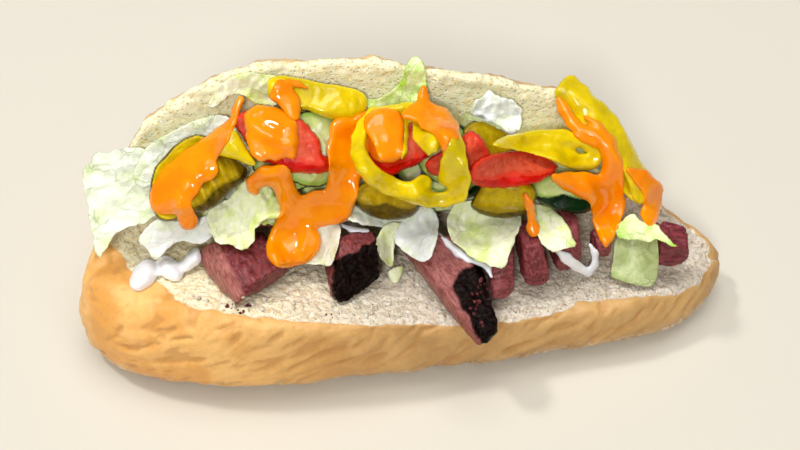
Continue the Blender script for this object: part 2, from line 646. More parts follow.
def circle(a, b, radius, other_radius=None, sides=24):
    turns = np.arange(sides) * 2 * math.pi / sides
    return np.stack((a + radius * np.cos(turns), b + (other_radius or radius) * np.sin(turns)), axis=1)


def inside_outline(spots, outline):
    nearest = np.full(len(spots), 1e9)
    within = np.zeros(len(spots), bool)
    for start, end in zip(outline, np.roll(outline, -1, axis=0)):
        side = end - start
        along = np.clip(((spots - start) @ side) / max(side @ side, 1e-9), 0, 1)
        nearest = np.minimum(nearest, np.linalg.norm(spots - start - along[:, None] * side, axis=1))
        crosses = (start[1] > spots[:, 1]) != (end[1] > spots[:, 1])
        rise = side[1] if abs(side[1]) > 1e-9 else 1e-9
        within ^= crosses & (spots[:, 0] < start[0] + (spots[:, 1] - start[1]) * side[0] / rise)
    return np.where(within, nearest, -nearest)


def inside_strokes(spots, strokes, blend=0.45):
    total = np.full(len(spots), 1e-30)
    for stroke in strokes:
        for (a0, b0, r0), (a1, b1, r1) in zip(stroke, stroke[1:] or stroke):
            start, side = np.array((a0, b0)), np.array((a1 - a0, b1 - b0))
            along = np.clip(((spots - start) @ side) / max(side @ side, 1e-9), 0, 1)
            away = np.linalg.norm(spots - start - along[:, None] * side, axis=1)
            total += np.exp(np.clip((r0 + (r1 - r0) * along - away) / blend, -60, 60))
    return blend * np.log(total)


def soften(grid, reach, step):
    """A grid blurred by a bell of this reach."""
    half = max(1, int(2.5 * reach / step))
    bell = np.exp(-0.5 * (np.arange(-half, half + 1) * step / reach) ** 2)
    bell /= bell.sum()
    for axis in (0, 1):
        grid = np.apply_along_axis(lambda row: np.convolve(np.pad(row, half, "edge"), bell, "valid"), axis, grid)
    return grid


def filled(grid, step):
    """A grid with its unknown places filled from the nearest known ones."""
    known = np.isfinite(grid)
    if not known.any():
        return np.zeros_like(grid)
    value, weight = np.where(known, grid, 0.0), known.astype(float)
    result = np.where(known, grid, np.nan)
    for reach in (1.0, 2.0, 4.0, 8.0, 16.0):
        near = soften(weight, reach, step)
        guess = soften(value, reach, step) / np.maximum(near, 1e-9)
        result = np.where(np.isnan(result) & (near > 0.02), guess, result)
    return np.where(np.isnan(result), grid[known].mean(), result)


def tree_of(sheet_points, mesh):
    return BVHTree.FromPolygons(sheet_points.tolist(), [tuple(p.vertices) for p in mesh.polygons])


def cast(tree, a, b, start, way):
    """The level at which a line along W meets the tree at each place."""
    levels = np.full(a.shape, np.nan)
    for index in np.ndindex(a.shape):
        hit = tree.ray_cast((a[index], b[index], start), (0.0, 0.0, way))[0]
        if hit is not None:
            levels[index] = hit[2]
    return levels


HIGH, DEEP = 70.0, -70.0
PILE = []


def remember(mesh_points, mesh):
    """Adds a shape to what later foods are poured over."""
    sheet = to_sheet(mesh_points)
    PILE.append((tree_of(sheet, mesh), sheet.min(axis=0), sheet.max(axis=0)))


def pile_level(a, b):
    highest = np.full(a.shape, np.nan)
    for tree, low, high in PILE:
        near = (a > low[0]) & (a < high[0]) & (b > low[1]) & (b < high[1])
        if near.any():
            highest[near] = np.fmax(highest[near], cast(tree, a[near], b[near], HIGH, -1.0))
    return highest


def own_levels(node, reach=1.2):
    """Top and underside of a CAD node, without its facets."""
    mesh = solid(node)
    tree = tree_of(to_sheet(points_of(mesh)), mesh)

    def levels(a, b, step):
        top = soften(filled(cast(tree, a, b, HIGH, -1.0), step), reach, step)
        bottom = soften(filled(cast(tree, a, b, DEEP, 1.0), step), reach, step)
        return top, bottom

    return levels


def leaf_levels(base, thickness, fold, fold_size, lip, region, seed):
    def levels(a, b, step):
        top, bottom = base(a, b, step)
        flat = np.stack((a.ravel(), b.ravel(), 0 * a.ravel()), axis=1)
        waves = fractal(flat, fold_size, 2, seed) + 0.5 * ridges(flat, 0.8 * fold_size, 2.5, seed + 1)
        waves += 0.45 * fractal(flat, 0.35 * fold_size, 3, seed + 2)
        raised = np.exp(-np.maximum(region.depth(flat[:, :2]), 0) / 1.6)
        middle = (top + bottom) / 2 + (fold * waves + lip * raised).reshape(a.shape)
        return middle + thickness / 2, middle - thickness / 2

    return levels


def lying(levels, region, stiffness):
    """The levels, raised smoothly wherever the pile would stand through the piece."""
    def raised(a, b, step):
        top, bottom = levels(a, b, step)
        spots = np.stack((a.ravel(), b.ravel()), axis=1)
        within = region.depth(spots).reshape(a.shape) > -0.3
        short = np.maximum(np.nan_to_num(pile_level(a, b) + 0.1 - bottom, nan=0.0), 0.0) * within
        lift = short
        for _ in range(4):
            lift = np.maximum(short, soften(lift, stiffness, step))
        lift = np.maximum(soften(lift, 0.6, step), short)
        return top + lift, bottom + lift

    return raised


def poured_levels(region, thickness, growth=0.4, reach=2.2, swell=0.25, seed=0, sink=0.2, crests=()):
    """A thick liquid over the pile: it bridges hollows, and stands thicker where it is wide.

    Crests are rounded ridges on it: (height, half width, stroke).
    """
    def levels(a, b, step):
        below = filled(pile_level(a, b), step)
        skin = below
        for _ in range(8):
            skin = np.maximum(below, soften(skin, reach, step))
        skin = soften(skin, 0.8, step)
        flat = np.stack((a.ravel(), b.ravel(), 0 * a.ravel()), axis=1)
        depth = 3.5 * np.tanh(np.maximum(region.depth(flat[:, :2]), 0) / 3.5)
        thick = (thickness + growth * depth) * (1 + swell * fractal(flat, 7.0, 2, seed))
        for height, half, stroke in crests:
            away = -inside_strokes(flat[:, :2], (tuple((*spot, 0.0) for spot in stroke),))
            thick += height * np.exp(-(away / half) ** 2)
        bottom = np.maximum(skin, below) - sink
        return np.maximum(skin + soften(thick.reshape(a.shape), 0.6, step), bottom + 0.9 * thickness), bottom

    return levels


def drape(name, slot, material, region, levels, round_width, nodes=(), step=0.4, relief=None, paint=None,
          fullness=2.0, smooth=2):
    """A piece over the region: its top meets its underside at the rim in a round edge this wide."""
    low, high = region.box()
    margin = 1.5 + region.ragged
    a, b = np.meshgrid(np.arange(low[0] - margin, high[0] + margin, step),
                       np.arange(low[1] - margin, high[1] + margin, step), indexing="ij")
    spots = np.stack((a.ravel(), b.ravel()), axis=1)
    depth = region.depth(spots).reshape(a.shape)
    inside = depth > 0
    cells = inside[:-1, :-1] | inside[1:, :-1] | inside[:-1, 1:] | inside[1:, 1:]
    used = np.zeros(a.shape, bool)
    for i, j in ((0, 0), (1, 0), (0, 1), (1, 1)):
        used[i:i + cells.shape[0], j:j + cells.shape[1]] |= cells
    top, bottom = levels(a, b, step)
    rim = (used & ~inside).ravel()
    moved = spots[rim]
    for _ in range(2):
        slope = np.stack([(region.depth(moved + side) - region.depth(moved - side)) / 0.2
                          for side in ((0.1, 0.0), (0.0, 0.1))], axis=1)
        pull = -region.depth(moved)[:, None] * slope / np.maximum((slope ** 2).sum(axis=1), 0.3)[:, None]
        moved = moved + np.clip(pull, -step, step)
    spots[rim] = moved
    inward = np.clip(depth.ravel() / round_width, 0, 1)
    inward[rim] = 0.0
    full = (1 - (1 - inward) ** fullness) ** (1 / fullness)
    top, bottom = top.ravel(), bottom.ravel()
    level = bottom + (top - bottom) * full
    if relief is not None:
        level = level + relief(spots, depth.ravel()) * full
    used_flat = used.ravel()
    keep = np.flatnonzero(used_flat)
    inner = np.flatnonzero(used_flat & ~rim)
    above = np.full(a.size, -1)
    above[keep] = np.arange(len(keep))
    below = above.copy()
    below[inner] = len(keep) + np.arange(len(inner))
    columns = a.shape[1]
    corners = (np.argwhere(cells) @ (columns, 1))[:, None] + np.array((0, columns, columns + 1, 1))
    faces = np.concatenate((above[corners], below[corners][:, ::-1])).tolist()
    where = np.concatenate((keep, inner))
    height = np.concatenate((level[keep], bottom[inner]))
    mesh = mesh_from(from_sheet(np.column_stack((spots[where], height))), faces)
    points = blurred(mesh, points_of(mesh), smooth)
    place(mesh, points)
    values = {"wall": 1 - full[where], "spot": np.column_stack((spots[where], 0 * where))}
    if paint is not None:
        values.update(paint(spots[where], depth.ravel()[where], full[where]))
    store(mesh, **values)
    remember(points, mesh)
    show(name, mesh, material, slot, *nodes)


# ---------------------------------------------------------------- slices

# Each slice: its outline, the width of skin that shows and the way it shows, ridges (depth, length, way), seeds.
DOWN = -90
SLICES = {
    "cucumber_b": (circle(-34.5, 24.5, 12.5, 11.5), 1.0, 200, None, 12),
    "cucumber_a": (circle(-27, 26, 12.3), 0.7, 30, None, 12),
    "cucumber_c": (circle(7, 19, 11), 3.0, 215, None, 12),
    "cucumber_d": (circle(17, 17, 11.3), 3.5, -45, None, 10),
    "cucumber_f": (circle(15, 21.5, 10.2), 1.6, 50, None, 8),
    "cucumber_e": (((39, 10), (43, 11.5), (48, 13), (55, 12), (60, 9), (62, 5), (61, 1), (57, -1.5), (52, -0.5),
                    (47, 1), (43, 3.5), (40, 6.5)), 9.0, DOWN, None, 0),
    "pickle_a": (((-79, 14), (-78.3, 19), (-77.5, 22), (-76.3, 24.6), (-74, 26.5), (-71.5, 29), (-69, 31.2),
                  (-65.5, 33), (-61.5, 33.6), (-57, 31.5), (-54, 27), (-53.5, 21), (-57, 15), (-62, 11), (-67, 8.5),
                  (-72, 6.7), (-75.5, 6.9), (-78, 9.5)), 0.9, 250, (0.12, 4.0, 60), 0),
    "pickle_b": (((-72, 10.5), (-70, 9.2), (-64, 8.6), (-61, 9.4), (-58.5, 10.4), (-56, 12.6), (-53, 15),
                  (-50, 16.6), (-48, 19), (-47.5, 21.5), (-50, 24), (-53, 26), (-57, 27), (-62, 25), (-67, 20),
                  (-71, 15)), 4.5, -60, (0.85, 4.2, 20), 0),
    "pickle_c": (((-16, 8), (-15, 12), (-12, 15), (-7, 15), (0, 12), (4.5, 8), (5.4, 5), (3, 2.4), (-1, 1.5),
                  (-5, 1.6), (-9, 2.6), (-13, 4.6)), 9.0, -100, (0.3, 3.2, 80), 0),
    "pickle_e": (((20, 28.5), (22.5, 30.7), (26, 31.5), (30, 30.3), (34, 27.4), (37, 24), (37, 20), (34, 17),
                  (29, 16.5), (24, 18), (20.5, 22)), 0.8, 60, (0.2, 3.4, 30), 0),
    "pickle_d": (((20.6, 3.8), (21.5, 6), (23.5, 8.8), (25.4, 12), (27, 13.4), (33, 14), (40, 11.5), (42.6, 7.5),
                  (42, 3.5), (39.5, 0.5), (35, -0.8), (29, -0.5), (24, 1.2)), 2.2, DOWN, (0.25, 3.4, 80), 0),
    "tomato_a": (((-52.8, 37.4), (-50, 38.6), (-47, 39.8), (-42, 40.5), (-36, 39), (-30, 36.5), (-26.5, 32.5),
                  (-24.2, 28), (-23.8, 24), (-22, 22.9), (-21.4, 20.6), (-22.5, 18.3), (-27, 17.9), (-32, 18.3),
                  (-36.5, 20.1), (-40, 22.2), (-44, 23.4), (-46.5, 27), (-48.7, 31), (-51.3, 35)), 4.2, -105, None, 0),
    "tomato_b": (((-10, 22), (-9, 26), (-5, 30), (0, 33), (5, 34), (9, 31), (11, 26), (10.5, 21.3), (6, 18.5),
                  (1, 17.2), (-3, 15.6), (-5.5, 15.8), (-8, 18.3)), 3.0, DOWN, None, 0),
    "tomato_c": (((7.2, 17.2), (9, 20.6), (13, 22.4), (17, 25), (20, 27), (22.5, 28.5), (25, 27.4), (27.5, 24),
                  (29, 20.5), (28.8, 18), (26, 15), (22, 13), (17, 13), (12, 14), (9.3, 15)), 0.8, DOWN, None, 0),
    "tomato_d": (((20.3, 13), (22, 17), (26, 19.4), (31, 20.8), (36, 21), (40, 21), (44, 20), (48, 17),
                  (50.2, 14.8), (48.5, 12.2), (44, 10), (38, 8.8), (31, 8.8), (25, 9.8), (21.6, 11)), 4.2, DOWN,
                 None, 0),
}


# How much brighter than their plain flesh some pickle slices are.
TONE = {"pickle_a": 1.0, "pickle_b": 0.15, "pickle_c": 0.2, "pickle_d": 0.4, "pickle_e": 0.4}


def slice_materials():
    return {
        "cucumber": slice_material(
            "cucumber", (linear(212, 224, 150), linear(190, 208, 120)), linear(222, 232, 180),
            linear(236, 240, 206), (linear(8, 40, 6), linear(2, 20, 4)), linear(150, 186, 80), 0.1, 0.15),
        "pickle": slice_material(
            "pickle", (linear(176, 146, 4), linear(138, 106, 0)), linear(250, 222, 14), linear(214, 196, 60),
            (linear(104, 84, 0), linear(64, 50, 0)), linear(140, 116, 0), 0.09, 0.25),
        "tomato": slice_material(
            "tomato", (linear(224, 98, 66), linear(200, 52, 30)), linear(226, 104, 70), linear(236, 180, 110),
            (linear(214, 18, 2), linear(180, 4, 0)), linear(220, 60, 36), 0.07, 0.1),
    }


def build_slice(node, materials, seed):
    outline, wide, way, ridge, seeds = SLICES[node]
    kind = node.split("_")[0]
    rough = {"cucumber": 0.10, "pickle": 0.18, "tomato": 0.35}[kind]
    torn, grain, cuts = (0.45, 1.8, 1) if kind == "tomato" else (0.25, 4.0, 2)
    region = Region(outline, ragged=torn, grain=grain, cuts=cuts, seed=seed)
    levels = lying(own_levels(node), region, 3.0)
    centre = np.mean(region.outline, axis=0)
    ridge_depth, ridge_length, ridge_way = ridge or (0.0, 1.0, 0)
    facing = np.array((math.cos(math.radians(way)), math.sin(math.radians(way))))
    across = np.array((math.cos(math.radians(ridge_way)), math.sin(math.radians(ridge_way))))
    random = np.random.default_rng(seed)
    seed_ways = (np.arange(seeds) + random.uniform(-0.3, 0.3, seeds)) * 2 * math.pi / max(seeds, 1)
    low, high = region.box()
    seed_places = centre + (random.uniform(0.3, 0.58, seeds) * min(high - low) / 2)[:, None] * np.stack(
        (np.cos(seed_ways), np.sin(seed_ways)), axis=1)

    def skirt(spots):
        """How wide the skin is at the part of the rim that a spot is nearest to."""
        offset = spots - centre
        turned = offset @ facing / np.maximum(np.linalg.norm(offset, axis=1), 1e-6)
        return 0.8 + (wide - 0.8) * smoothstep(-0.15, 0.7, turned)

    def seed_mask(spots):
        mask = np.zeros(len(spots))
        for spot, turn in zip(seed_places, seed_ways):
            offset = spots - spot
            long = offset @ (math.cos(turn), math.sin(turn)) / 1.9
            short = offset @ (-math.sin(turn), math.cos(turn)) / 0.8
            mask = np.maximum(mask, smoothstep(1.0, 0.55, np.hypot(long, short)))
        return mask

    def relief(spots, depth):
        flat = np.column_stack((spots, 0 * depth))
        fall = np.clip(depth / skirt(spots), 0, 1)
        drop = (1 - np.sqrt(1 - (1 - fall) ** 2)) * (skirt(spots) > 1.5) * min(wide, 5.0) * 0.75
        wave = ridge_depth * np.sin(spots @ across * 2 * math.pi / ridge_length)
        grain = rough * fractal(flat, 2.2, 3, seed) + 0.4 * rough * fractal(flat, 0.8, 2, seed + 1)
        return grain + wave - drop + 0.2 * seed_mask(spots)

    def paint(spots, depth, full):
        share = depth / skirt(spots)
        flat = np.column_stack((spots, 0 * depth))
        share = share + 0.12 * fractal(flat, 2.0, 2, seed + 4)
        skin = smoothstep(0.95, 0.75, share)
        edge = smoothstep(1.9, 0.6, depth - skirt(spots)) * (1 - skin)
        heart = smoothstep(4.0, 7.0, depth) * (kind != "pickle")
        tone = TONE.get(node, 0.0) + 0 * depth
        edge *= 1 - 0.7 * tone
        return {"skin": skin, "edge": edge, "heart": heart, "tone": tone, "seed": seed_mask(spots)}

    drape(node, kind, materials[kind], region, levels, 0.8, (node,), relief=relief, paint=paint)


def build_slices(kinds):
    materials = slice_materials()
    for seed, node in enumerate(SLICES):
        if node.split("_")[0] in kinds:
            build_slice(node, materials, seed * 3 + 1)


# ---------------------------------------------------------------- lettuce leaves

# Each leaf: its look, fold height and size, lift of its rim, ragged rim, way of its veins, outline.
LEAVES = {
    "leaf_far_left": (WHITE_GREEN, 1.0, 7, 0.8, 0.7, 15, (
        (-94, 30.5), (-90, 29.5), (-86, 31), (-80, 30.5), (-74, 28), (-72, 20), (-74, 12), (-78, 8), (-82, 6.2),
        (-86, 6.4), (-89, 4.6), (-92, 2.0), (-94, -1.0), (-96, -3.5), (-97, 2), (-97.6, 8), (-98.2, 14), (-98.8, 18),
        (-99, 22), (-98, 25), (-96, 27.5))),
    "leaf_left_back": (WHITE_GREEN, 0.6, 6, 0.3, 0.4, 40, (
        (-84, 20), (-82, 26), (-78, 31), (-73, 33.5), (-66, 36.8), (-59, 38.8), (-54, 39), (-51, 36.5), (-56, 33),
        (-62, 31), (-70, 27), (-76, 22), (-79, 17))),
    "leaf_curl": (YELLOW_GREEN, 0.8, 5, 0.6, 0.5, 30, (
        (-59, 41.5), (-57.5, 43.5), (-56, 46.5), (-53, 49), (-49, 51), (-44, 51.5), (-39.5, 50.5), (-35, 49),
        (-33, 44), (-37, 40), (-42, 40.5), (-45, 42), (-48, 44.5), (-51, 45), (-54, 43), (-56.5, 41))),
    "leaf_spire": (BRIGHT_GREEN, 0.9, 5, 0.6, 0.4, 70, (
        (-9.2, 37), (-9.4, 39.2), (-8.5, 40.5), (-6, 39.8), (-3.5, 41), (0, 42.8), (2.6, 46), (4.4, 50), (5.8, 52.2),
        (8, 52.8), (9.8, 51.2), (10.4, 48), (10.4, 44), (9.5, 40), (7, 37), (2, 35), (-3, 35))),
    "leaf_pale": (WATERY, 1.0, 4, 0.6, 0.5, 60, (
        (23, 33.5), (25, 37.3), (28, 38.8), (30, 40.5), (31.5, 38.6), (34.5, 37.6), (37.5, 36.3), (39.6, 33.5),
        (40, 30), (38.5, 27), (35.5, 25.5), (33, 27), (30, 29.5), (27, 30.5), (24, 31.5))),
    "leaf_strip_left": (WATERY, 0.6, 5, 0.4, 0.3, 30, (
        (-83.8, 1), (-82, 4.2), (-78, 8), (-73, 7.5), (-69, 6.5), (-65, 6.5), (-61, 8.5), (-58, 8), (-58.5, 3),
        (-60.3, 1.3), (-62, 0), (-64, -0.9), (-66.5, -0.9), (-68.5, 0.4), (-71, 0.4), (-74, -1.2), (-76.5, -3.6),
        (-78.5, -5), (-79.6, -3.8), (-80.5, -1.2))),
    "leaf_crumpled_left": (YELLOW_GREEN, 2.3, 6, 0.5, 0.7, 70, (
        (-62, 9), (-59, 11.2), (-55, 12.3), (-52.3, 14), (-50.8, 17), (-48, 18.5), (-43, 17), (-39.5, 13), (-37, 9),
        (-37.5, 6), (-40.5, 4.8), (-44, 5), (-46.2, 3), (-47.4, 0), (-48.2, -2.6), (-50, -3.9), (-52.5, -3.1),
        (-55, -2), (-58, -1.4), (-60.5, 0.6), (-61.4, 4))),
    "leaf_behind_sauce": (WHITE_GREEN, 0.7, 5, 0.3, 0.3, 60, (
        (-29, 4), (-24, 3.5), (-20.2, 2.5), (-20.3, -1.5), (-22, -6), (-23.6, -10.4), (-25, -11.3), (-29, -10.2),
        (-33.5, -9.6), (-34, -5), (-31, 0))),
    "leaf_shreds": (WHITE_GREEN, 1.2, 4, 0.6, 0.6, 10, (
        (-18, 6), (-15, 8), (-9, 6), (-3, 4), (2, 4.5), (4, 2), (2.5, -2), (1, -4.2), (-1, -4.6), (-3, -2.6),
        (-5.5, -1), (-9, 0.3), (-13.5, 0.8), (-16.5, 2), (-18.5, 4))),
    "leaf_hanging": (YELLOW_GREEN, 0.9, 4, 0.5, 0.4, 80, (
        (-9.2, -3), (-7.5, -0.2), (-4, 1.5), (-0.5, 0.5), (-1, -2), (-3.2, -3.4), (-4, -7), (-4.3, -10.4),
        (-5.2, -12.8), (-7, -12), (-8.8, -9.4), (-9.9, -6))),
    "leaf_translucent": (WATERY, 0.8, 6, 0.4, 0.3, 65, (
        (-4, -5), (-3, -1), (0, 2.5), (3, 5.5), (8, 5.5), (10.8, 2), (10.7, -1), (10, -4.5), (8.4, -8.5), (7, -11.7),
        (4.5, -12.3), (1, -10.3), (-1.8, -7.8))),
    "leaf_broad": (YELLOW_GREEN, 1.5, 7, 0.6, 0.5, 55, (
        (12.8, 0), (14, 3.5), (17, 6), (22, 6), (27, 4.5), (31, 2.5), (35, 1.2), (37.6, -0.3), (36.2, -3.5),
        (34, -8), (31.3, -14.2), (30, -16.3), (27, -15.8), (24, -14.2), (21, -13), (18, -10.2), (16, -7.7),
        (14, -6.7), (13.3, -3.5))),
    "leaf_folded": (YELLOW_GREEN, 0.8, 6, 0.5, 0.4, -50, (
        (40.8, 3), (44, 3), (46.8, 1.5), (49.2, -0.8), (51.3, -4), (53, -8), (54, -11.2), (50.5, -11.6),
        (47, -12.7), (43, -10.8), (41.3, -6), (40.6, -2))),
    "leaf_striped": (STRIPED, 0.25, 9, 0.2, 0.15, -8, (
        (66, -9), (70, -9.2), (74, -9.8), (79.5, -9.8), (79.9, -14), (79.4, -20), (78.4, -24.5), (76, -26.2),
        (72, -25.2), (68, -23.8), (64, -22.2), (63.4, -20.5), (65.2, -15))),
    "leaf_crumpled_right": (BRIGHT_GREEN, 1.0, 5, 0.5, 0.35, -5, (
        (66.3, -5.6), (70, -3.4), (72.5, -1.8), (74.2, -4.3), (77, -5.6), (80.2, -6.2), (81.6, -8.6), (84.6, -12.3),
        (86.8, -13.9), (84.6, -14.3), (82, -12.6), (79.4, -10.7), (77, -11.7), (74, -11.2), (70, -10.2),
        (66.5, -9.7))),
}


def build_leaves(materials):
    for seed, (node, (look, fold, fold_size, lip, ragged, way, outline)) in enumerate(LEAVES.items()):
        region = Region(outline, ragged=ragged, grain=2.6, cuts=1, seed=seed * 2.3)
        turn = math.radians(way)

        def paint(spots, depth, full):
            along = spots @ (math.cos(turn), math.sin(turn))
            across = spots @ (-math.sin(turn), math.cos(turn))
            flat = np.column_stack((spots, 0 * along))
            tint = np.clip(0.4 * fractal(flat, 10.0, 2, seed + 4) + 0.15 * smoothstep(3.0, 0.0, depth), 0, 0.6)
            return {"sheet": np.column_stack((along, across, 0 * along + 9.0 * seed)), "tint": tint}

        levels = lying(leaf_levels(own_levels(node, 1.6), 0.45, fold, fold_size, lip, region, seed * 3.1),
                       region, 1.5)
        drape(node, "lettuce", materials[look], region, levels, 0.35, (node,), paint=paint, smooth=1)


# Smaller pieces of leaf: look and outline.
SCRAPS = {
    "scrap_front": (YELLOW_GREEN, ((-7, -14), (-4, -13), (-1, -12.5), (-2, -15), (-4, -18.5), (-6, -17.5), (-7, -15))),
    "scrap_right": (STRIPED, ((21.5, 31), (21.2, 34), (23, 33.5), (26, 31.8), (30, 30.3), (34, 27.5), (33, 27),
                              (28, 30), (24, 31))),
}


def build_scraps(materials):
    for seed, (name, (look, outline)) in enumerate(SCRAPS.items()):
        region = Region(outline, ragged=0.3, grain=2.0, cuts=1, seed=seed * 1.7)

        def paint(spots, depth, full):
            flat = np.column_stack((spots, 0 * depth + 5.0 * seed))
            return {"sheet": flat, "tint": np.clip(0.4 * fractal(flat, 5.0, 2, seed), 0, 0.6)}

        drape(name, "lettuce", materials[look], region, poured_levels(region, 0.5, 0.15, 1.2, 0.8, seed), 0.4,
              paint=paint, smooth=1)


# Loose crumbs: how many, their mean radius, and the outline they lie in.
MEAT_CRUMBS = ((12, 0.5, ((-61, -19), (-54, -24.5), (-49, -20.5), (-53, -21))),
               (20, 0.6, ((20, -18), (26, -20), (25, -25), (22, -36), (26, -42), (18, -30))),
               (4, 0.4, ((-29, -26), (-24, -28), (-20, -26.5), (-24, -25))))
BREAD_CRUMBS = ((40, 0.7, ((-74, -16), (-60, -21), (-30, -27), (0, -30), (0, -24), (-30, -22), (-60, -17))),
                (34, 0.6, ((44, -20), (52, -24), (62, -22), (60, -17), (50, -18))),
                (30, 0.7, ((30, -31), (60, -27), (90, -24), (90, -20), (60, -23), (30, -26))))


def build_crumbs(name, slot, material, groups, seed, **values):
    """Lumps of uneven shape, half sunk into what they lie on."""
    random = np.random.default_rng(seed)
    ball = bmesh.new()
    bmesh.ops.create_icosphere(ball, subdivisions=2, radius=1.0)
    sphere = np.array([v.co for v in ball.verts])
    triangles = np.array([[v.index for v in f.verts] for f in ball.faces])
    ball.free()
    corners, faces = [], []
    for count, radius, outline in groups:
        outline = np.array(outline, float)
        spots = random.uniform(outline.min(axis=0), outline.max(axis=0), (count * 3, 2))
        spots = spots[inside_outline(spots, outline) > 0][:count]
        for spot, level in zip(spots, pile_level(spots[:, :1], spots[:, 1:])[:, 0]):
            if np.isnan(level):
                continue
            lump = sphere * radius * random.uniform(0.5, 1.5) * random.uniform(0.7, 1.2, 3)
            lump = lump * (1 + 0.45 * fractal(sphere * 2.0, 1.6, 2, len(corners)))[:, None]
            centre = from_sheet(np.array([(*spot, level + 0.2 * radius)]))
            faces.append(triangles + len(sphere) * len(corners))
            corners.append(centre + lump)
    mesh = mesh_from(np.concatenate(corners), np.concatenate(faces).tolist())
    count = len(mesh.vertices)
    store(mesh, **{key: np.full(count, value) for key, value in values.items()},
          grain=points_of(mesh))
    show(name, mesh, material, slot)


# ---------------------------------------------------------------- peppers

PEPPERS = {
    "pepper_a": Region((
        (-39.6, 48.9), (-36, 50.2), (-30, 48.8), (-24, 46.8), (-18, 45.5), (-12, 43.8), (-9.3, 42), (-8.4, 39.5),
        (-9.2, 36.6), (-12, 34.4), (-15, 33.8), (-18, 34.3), (-21.5, 34.6), (-24.5, 36.2), (-27.5, 38), (-30, 38),
        (-34, 38), (-37, 40.5), (-39.5, 42.5), (-40.2, 45.5)), ragged=0.3, grain=5.0),
    "pepper_e": Region((
        (-58.6, 27), (-57, 29.2), (-55, 31.5), (-52.5, 33.8), (-50.3, 33.8), (-49, 31), (-47.6, 28), (-46.2, 25.5),
        (-44.9, 22.8), (-46, 22), (-49, 23.2), (-52.5, 25), (-56, 26)), ragged=0.3, grain=4.0),
    "pepper_b": Region(strokes=(
        ((-7, 35.5, 2.0), (-10.5, 32, 2.2), (-12.4, 28, 2.4), (-12.8, 23.5, 2.6), (-11.4, 19.5, 2.8), (-8.6, 15.8, 3.0),
         (-4.5, 12.8, 3.1), (0, 10.7, 2.8), (4, 9.8, 3.4), (8, 7.4, 2.6), (13, 6.8, 2.3), (17.4, 8.4, 2.9),
         (18.3, 13, 3.3), (17.6, 18, 3.5), (17.2, 23, 3.5), (16, 28, 3.3), (13, 32.3, 3.2), (8.5, 34.6, 3.4),
         (3, 35.4, 3.0), (-2, 35.6, 2.2), (-7, 35.5, 2.4)),
        ((4, 9.8, 3.6), (6.6, 12.4, 3.0)),
        ((1.6, 33, 2.4), (1.8, 28, 1.5), (1.4, 23, 1.1), (0.6, 21, 0.5)),
        ((18.3, 13, 3.3), (14.2, 13.6, 2.6), (15.5, 18, 3.2)))),
    "pepper_g": Region(strokes=(
        ((7, 31, 2.4), (7.6, 27.5, 2.9), (8.6, 24.5, 1.9), (9.1, 21.4, 0.5)), ((12.5, 30, 2.2), (12.4, 26, 1.6), (11, 23, 1.4)))),
    "pepper_f": Region((
        (67, 14.5), (70, 14), (72.5, 10), (74, 5), (75.2, 1), (73, 0.9), (70.5, 3.8), (68.8, 6.5)), ragged=0.2),
    "pepper_d": Region((
        (50, 38.2), (52.3, 41), (54.5, 42.8), (56.5, 43.4), (58.3, 42.4), (58.9, 40.8), (61.2, 39.4), (62.4, 36.6),
        (65.6, 33.9), (69, 30.2), (71.6, 26), (73.4, 21.5), (75, 17), (77, 13), (79.6, 10), (80.2, 7), (79, 2),
        (76, 0), (73.5, 0.8), (72, 5), (70.5, 11), (68, 16), (65, 20), (60, 25), (54, 30), (50.5, 35)), ragged=0.3,
        grain=5.0),
    "pepper_c": Region((
        (29, 23.2), (31, 24.6), (34, 25.6), (40, 26.4), (47, 26.8), (53, 26.3), (58, 24.3), (63, 22), (65.2, 18),
        (64.7, 15), (62, 12.8), (58, 12.1), (54, 13.1), (50, 15.3), (46, 17.3), (40, 19.8), (34, 21.3), (30, 22)),
        holes=(((55.4, 19.5, 0.1), (57, 19, 0.5), (58.8, 18.2, 0.2)),), ragged=0.25, grain=4.0),
}


def build_peppers(letters, material):
    for letter in letters:
        node = "pepper_" + letter
        region = PEPPERS[node]
        seed = ord(letter)

        def relief(spots, depth):
            flat = np.column_stack((spots, 0 * depth))
            veins = ridges(flat * (1.0, 1.0, 1.0), 5.0, 5.0, seed)
            return 0.45 * fractal(flat, 6.0, 2, seed + 2) - 0.3 * veins + 0.05 * fractal(flat, 1.5, 2, seed + 3)

        def paint(spots, depth, full):
            flat = np.column_stack((spots, 0 * depth))
            return {"olive": smoothstep(0.0, 0.5, fractal(flat, 14, 2, seed + 5)), "rim": smoothstep(1.6, 0.2, depth)}

        drape(node, "pepper", material, region, lying(own_levels(node, 1.0), region, 2.5), 1.7, (node,),
              step=0.35, relief=relief, paint=paint)


# ---------------------------------------------------------------- sauces

